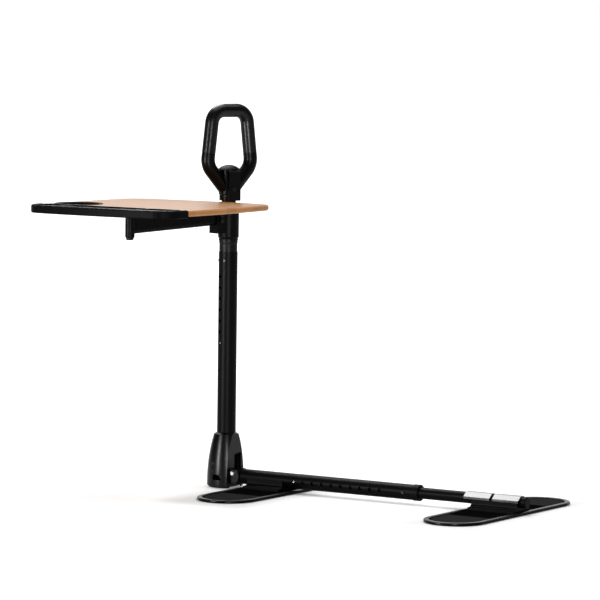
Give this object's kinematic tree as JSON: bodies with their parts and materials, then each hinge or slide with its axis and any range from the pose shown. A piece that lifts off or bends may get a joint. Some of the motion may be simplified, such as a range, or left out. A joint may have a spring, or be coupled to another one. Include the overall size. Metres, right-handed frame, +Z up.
{
  "type": "stand assist handle with tray",
  "caption": "Stand-assist handle on a height-adjustable post with a swivelling bamboo tray, a telescopic floor rail and flat foot plates.",
  "frame": {"origin": "centre of the near foot's sole, on the floor under the rail", "axes": "+X along the rail towards the far foot, +Z up"},
  "size_m": [1.0229, 0.7158, 0.8641],
  "materials": {
    "black_metal": "satin powder coat",
    "fork_steel": "satin powder coat",
    "sole_rubber": "matte",
    "pad_rubber": "fine grip texture",
    "guide_plastic": "matte",
    "gloss_black": "satin gloss",
    "grip_plastic": "soft satin",
    "black_steel": "black oxide",
    "bright_steel": "zinc plated",
    "bamboo": "clear lacquer on laminated strips"
  },
  "bodies": {
    "base": {"near_foot_plate": "black_metal", "near_foot_sole": "sole_rubber", "near_foot_pads": "pad_rubber", "near_saddle": "black_metal", "near_saddle_screws": "black_steel", "rail_tube": "black_metal", "rail_collar": "guide_plastic", "rail_collar_screw": "black_steel", "hub_fork": "fork_steel", "hub_cover_near": "gloss_black", "hub_cover_far": "gloss_black", "hub_front_bolt": "bright_steel", "hub_rear_bolt": "black_steel", "hub_cover_screws": "black_steel", "post_pin": "bright_steel", "post_tube": "black_metal", "post_collar": "guide_plastic", "post_collar_rivets": "black_steel"},
    "leg": {"far_foot_plate": "black_metal", "far_foot_sole": "sole_rubber", "far_foot_pads": "pad_rubber", "far_saddle": "black_metal", "far_clamp_inner": "black_metal", "far_clamp_outer": "black_metal", "far_clamp_screws": "black_steel", "leg_tube": "black_metal", "leg_guide": "guide_plastic", "leg_end_plug": "guide_plastic", "rail_button_spring": "bright_steel"},
    "rail_button": {"rail_snap_button": "bright_steel"},
    "mast": {"mast_tube": "black_metal", "mast_guide": "guide_plastic", "post_button_spring": "bright_steel", "handle_yoke": "gloss_black", "handle_grip": "grip_plastic", "yoke_cap": "gloss_black", "yoke_bolt": "black_steel", "swivel_bush": "guide_plastic", "swivel_clip": "guide_plastic"},
    "post_button": {"post_snap_button": "bright_steel"},
    "arm": {"swivel_bracket": "black_metal", "bracket_bolts": "black_steel", "tray_arm": "black_metal", "pivot_barrel": "black_metal", "barrel_bushes": "guide_plastic"},
    "tray": {"tray_plate": "black_metal", "pivot_washer": "guide_plastic", "pivot_nut": "guide_plastic", "tray_screws": "bright_steel", "tray_board": "bamboo", "organiser": "gloss_black", "organiser_screws": "bright_steel", "cup_holder": "gloss_black"}
  },
  "joints": [
    {"name": "leg_slide", "type": "slide", "parent": "base", "child": "leg", "axis": [1, 0, 0], "range_m": [0, 0.225]},
    {"name": "mast_slide", "type": "slide", "parent": "base", "child": "mast", "axis": [0, 0, 1], "range_m": [0, 0.15]},
    {"name": "rail_button_press", "type": "slide", "parent": "leg", "child": "rail_button", "axis": [0, -1, 0], "range_m": [0, 0.0032], "stiffness_N_per_m": 600, "springref_m": 0.0032},
    {"name": "post_button_press", "type": "slide", "parent": "mast", "child": "post_button", "axis": [-0.4226, -0.9063, 0], "range_m": [0, 0.0032], "stiffness_N_per_m": 600, "springref_m": 0.0032},
    {"name": "arm_swivel", "type": "hinge", "parent": "mast", "child": "arm", "pos_m": [-0.127, 0, 0.6], "axis": [0, 0, 1], "continuous": true},
    {"name": "tray_pivot", "type": "hinge", "parent": "arm", "child": "tray", "pos_m": [-0.20709, -0.27039, 0.6], "axis": [0, 0, 1], "range_deg": [-90, 6]}
  ]
}
